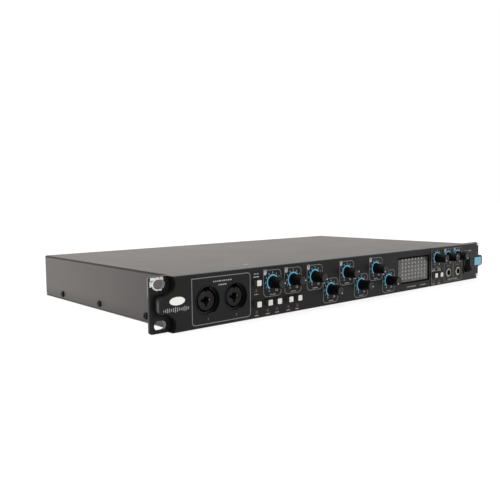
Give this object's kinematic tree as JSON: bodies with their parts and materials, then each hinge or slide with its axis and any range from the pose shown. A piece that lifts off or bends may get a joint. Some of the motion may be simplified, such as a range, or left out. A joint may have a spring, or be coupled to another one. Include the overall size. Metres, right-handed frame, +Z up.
{
  "type": "rack audio interface",
  "caption": "One-unit rack audio interface: thick fascia with scooped rack ears, combined inputs, gain knobs, buttons, meter, headphone outputs, mains rocker; rear sockets.",
  "frame": {"origin": "centre of the rack-slot pattern, on the rear face of the rack ears", "axes": "+X to the right seen from the front, +Y to the rear, +Z up"},
  "size_m": [0.4826, 0.2768, 0.044],
  "materials": {
    "case_paint": "fine textured black coating, satin",
    "fascia_paint": "satin black coating on cast aluminium",
    "rear_paint": "satin black coating on sheet steel",
    "base_steel": "black zinc and paint on sheet steel",
    "screw_black": "blackened steel",
    "knob_plastic": "moulded, fine matt",
    "cap_plastic": "moulded, satin",
    "shell_plastic": "glass-filled nylon",
    "insert_plastic": "glass-filled nylon",
    "contact_gold": "gold-plated",
    "jack_plastic": "moulded",
    "jack_metal": "nickel-plated brass",
    "badge_blue": "printed and lacquered",
    "badge_white": "printed and lacquered",
    "meter_lens": "frosted smoke acrylic",
    "lamp_clear": "diffused resin",
    "lamp_red": "red diffused resin, unlit",
    "lamp_green": "green diffused resin",
    "rocker_plastic": "moulded, semi gloss",
    "pcb_green": "solder resist on glass epoxy",
    "pot_metal": "tinned steel can",
    "switch_plastic": "moulded",
    "chip_plastic": "moulded epoxy",
    "brass_plain": "turned",
    "core_iron": "laminated core and taped winding",
    "capacitor_sleeve": "heat-shrink sleeve",
    "port_steel": "tinned steel",
    "cable_grey": "soft vinyl",
    "rca_metal": "gold-plated sleeve",
    "inlet_plastic": "thermoplastic"
  },
  "bodies": {
    "root": {"top_cover": "case_paint", "chassis_base": "base_steel", "rear_panel": "rear_paint", "front_panel": "fascia_paint", "case_screws": "screw_black", "rear_screws": "screw_black", "blue_badge": "badge_blue", "oval_badge": "badge_white", "meter_lens": "meter_lens", "meter_leds": "lamp_clear", "button_lamps": "lamp_red", "status_lamps": "lamp_green", "potentiometers": "pot_metal", "button_switches": "switch_plastic", "front_combo_shells": "shell_plastic", "rear_combo_shells": "shell_plastic", "front_combo_inserts": "insert_plastic", "rear_combo_inserts": "insert_plastic", "combo_contacts": "contact_gold", "headphone_jacks": "jack_plastic", "headphone_jack_nuts": "jack_metal", "line_out_jacks": "jack_plastic", "line_out_jack_nuts": "jack_metal", "midi_sockets": "jack_plastic", "rca_sockets": "rca_metal", "optical_ports": "jack_plastic", "data_ports": "port_steel", "mains_inlet": "inlet_plastic", "inlet_blades": "brass_plain", "rocker_housing": "rocker_plastic", "control_pcb": "pcb_green", "main_pcb": "pcb_green", "psu_board": "pcb_green", "pcb_standoffs": "brass_plain", "psu_transformer": "core_iron", "psu_capacitors": "capacitor_sleeve", "main_chips": "chip_plastic", "ribbon_cable": "cable_grey"},
    "gain_knob_1": {"gain_knob_1": "knob_plastic"},
    "gain_knob_2": {"gain_knob_2": "knob_plastic"},
    "gain_knob_3": {"gain_knob_3": "knob_plastic"},
    "gain_knob_4": {"gain_knob_4": "knob_plastic"},
    "gain_knob_5": {"gain_knob_5": "knob_plastic"},
    "gain_knob_6": {"gain_knob_6": "knob_plastic"},
    "gain_knob_7": {"gain_knob_7": "knob_plastic"},
    "gain_knob_8": {"gain_knob_8": "knob_plastic"},
    "monitor_knob": {"monitor_knob": "knob_plastic"},
    "headphone_knob_1": {"headphone_knob_1": "knob_plastic"},
    "headphone_knob_2": {"headphone_knob_2": "knob_plastic"},
    "button_1": {"button_1": "cap_plastic"},
    "button_2": {"button_2": "cap_plastic"},
    "button_3": {"button_3": "cap_plastic"},
    "button_4": {"button_4": "cap_plastic"},
    "button_5": {"button_5": "cap_plastic"},
    "button_6": {"button_6": "cap_plastic"},
    "button_7": {"button_7": "cap_plastic"},
    "button_8": {"button_8": "cap_plastic"},
    "power_rocker": {"power_rocker": "rocker_plastic"},
    "optical_flap_1": {"optical_flap_1": "jack_plastic"},
    "optical_flap_2": {"optical_flap_2": "jack_plastic"}
  },
  "joints": [
    {"name": "gain_knob_1_turn", "type": "hinge", "parent": "root", "child": "gain_knob_1", "pos_m": [-0.1221, -0.011, 0.0075], "axis": [0, 1, 0], "range_deg": [-240, 60]},
    {"name": "gain_knob_2_turn", "type": "hinge", "parent": "root", "child": "gain_knob_2", "pos_m": [-0.0969, -0.011, 0.0075], "axis": [0, 1, 0], "range_deg": [-240, 60]},
    {"name": "gain_knob_3_turn", "type": "hinge", "parent": "root", "child": "gain_knob_3", "pos_m": [-0.0685, -0.011, 0.0075], "axis": [0, 1, 0], "range_deg": [-275, 25]},
    {"name": "gain_knob_4_turn", "type": "hinge", "parent": "root", "child": "gain_knob_4", "pos_m": [-0.0466, -0.011, -0.0071], "axis": [0, 1, 0], "range_deg": [-300, 0]},
    {"name": "gain_knob_5_turn", "type": "hinge", "parent": "root", "child": "gain_knob_5", "pos_m": [-0.0231, -0.011, 0.0075], "axis": [0, 1, 0], "range_deg": [-210, 90]},
    {"name": "gain_knob_6_turn", "type": "hinge", "parent": "root", "child": "gain_knob_6", "pos_m": [-0.0012, -0.011, -0.0071], "axis": [0, 1, 0], "range_deg": [-260, 40]},
    {"name": "gain_knob_7_turn", "type": "hinge", "parent": "root", "child": "gain_knob_7", "pos_m": [0.0223, -0.011, 0.0075], "axis": [0, 1, 0], "range_deg": [0, 300]},
    {"name": "gain_knob_8_turn", "type": "hinge", "parent": "root", "child": "gain_knob_8", "pos_m": [0.044, -0.011, -0.0071], "axis": [0, 1, 0], "range_deg": [0, 300]},
    {"name": "monitor_knob_turn", "type": "hinge", "parent": "root", "child": "monitor_knob", "pos_m": [0.1348, -0.011, 0.0099], "axis": [0, 1, 0], "range_deg": [0, 300]},
    {"name": "headphone_knob_1_turn", "type": "hinge", "parent": "root", "child": "headphone_knob_1", "pos_m": [0.158, -0.011, 0.0097], "axis": [0, 1, 0], "range_deg": [-105, 195]},
    {"name": "headphone_knob_2_turn", "type": "hinge", "parent": "root", "child": "headphone_knob_2", "pos_m": [0.1785, -0.011, 0.0097], "axis": [0, 1, 0], "range_deg": [-300, 0]},
    {"name": "button_1_press", "type": "slide", "parent": "root", "child": "button_1", "axis": [0, 1, 0], "range_m": [0, 0.0025], "stiffness_N_per_m": 400, "springref_m": -0.0012},
    {"name": "button_2_press", "type": "slide", "parent": "root", "child": "button_2", "axis": [0, 1, 0], "range_m": [0, 0.0025], "stiffness_N_per_m": 400, "springref_m": -0.0012},
    {"name": "button_3_press", "type": "slide", "parent": "root", "child": "button_3", "axis": [0, 1, 0], "range_m": [0, 0.0025], "stiffness_N_per_m": 400, "springref_m": -0.0012},
    {"name": "button_4_press", "type": "slide", "parent": "root", "child": "button_4", "axis": [0, 1, 0], "range_m": [0, 0.0025], "stiffness_N_per_m": 400, "springref_m": -0.0012},
    {"name": "button_5_press", "type": "slide", "parent": "root", "child": "button_5", "axis": [0, 1, 0], "range_m": [0, 0.0025], "stiffness_N_per_m": 400, "springref_m": -0.0012},
    {"name": "button_6_press", "type": "slide", "parent": "root", "child": "button_6", "axis": [0, 1, 0], "range_m": [0, 0.0025], "stiffness_N_per_m": 400, "springref_m": -0.0012},
    {"name": "button_7_press", "type": "slide", "parent": "root", "child": "button_7", "axis": [0, 1, 0], "range_m": [0, 0.0025], "stiffness_N_per_m": 400, "springref_m": -0.0012},
    {"name": "button_8_press", "type": "slide", "parent": "root", "child": "button_8", "axis": [0, 1, 0], "range_m": [0, 0.0025], "stiffness_N_per_m": 400, "springref_m": -0.0012},
    {"name": "power_rocker_tilt", "type": "hinge", "parent": "root", "child": "power_rocker", "pos_m": [0.1995, -0.0094, -0.003], "axis": [1, 0, 0], "range_deg": [0, 22]},
    {"name": "optical_flap_1_swing", "type": "hinge", "parent": "root", "child": "optical_flap_1", "pos_m": [0.119, 0.242, 0.0047], "axis": [1, 0, 0], "range_deg": [-80, 0], "stiffness_Nm_per_rad": 0.0006, "springref_deg": 17.19},
    {"name": "optical_flap_2_swing", "type": "hinge", "parent": "root", "child": "optical_flap_2", "pos_m": [0.134, 0.242, 0.0047], "axis": [1, 0, 0], "range_deg": [-80, 0], "stiffness_Nm_per_rad": 0.0006, "springref_deg": 17.19}
  ]
}
